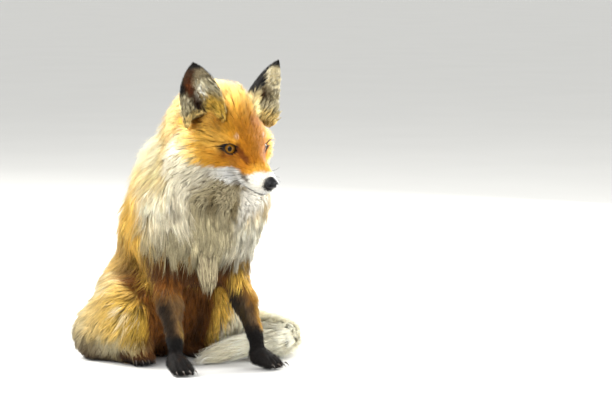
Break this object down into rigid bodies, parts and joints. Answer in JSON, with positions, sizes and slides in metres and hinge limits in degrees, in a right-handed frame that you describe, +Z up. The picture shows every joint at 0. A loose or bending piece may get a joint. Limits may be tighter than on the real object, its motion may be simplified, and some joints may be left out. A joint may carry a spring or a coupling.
{
  "type": "sitting fox",
  "caption": "Life-size still model of a red fox sitting on its haunches, ears up, with its bushy tail laid round one side.",
  "frame": {"origin": "middle of the model's bounding box on the floor it rests on", "axes": "+Z up, the fox faces -Y, its left side is +X"},
  "size_m": [0.3064, 0.3892, 0.4042],
  "materials": {
    "coat": "dense fur, golden to rust",
    "ruff": "long cream fur",
    "dark_coat": "short black-brown fur",
    "brush": "long pale fur with dark tips",
    "nose": "moist black skin",
    "eye": "wet, amber iris",
    "claw": "dark horn"
  },
  "bodies": {
    "root": {"head": "coat", "face": "coat", "neck": "ruff", "trunk": "coat", "nose": "nose", "eye_left": "eye", "ear_left": "dark_coat", "foreleg_left": "dark_coat", "forepaw_left": "dark_coat", "haunch_left": "coat", "hindfoot_left": "dark_coat", "claw_fore_left_1": "claw", "claw_fore_left_2": "claw", "claw_fore_left_3": "claw", "claw_fore_left_4": "claw", "claw_hind_left_1": "claw", "claw_hind_left_2": "claw", "claw_hind_left_3": "claw", "claw_hind_left_4": "claw", "eye_right": "eye", "ear_right": "dark_coat", "foreleg_right": "dark_coat", "forepaw_right": "dark_coat", "haunch_right": "coat", "hindfoot_right": "dark_coat", "claw_fore_right_1": "claw", "claw_fore_right_2": "claw", "claw_fore_right_3": "claw", "claw_fore_right_4": "claw", "claw_hind_right_1": "claw", "claw_hind_right_2": "claw", "claw_hind_right_3": "claw", "claw_hind_right_4": "claw", "tail_root": "brush", "tail_middle": "brush", "tail_tip": "brush"}
  },
  "joints": []
}
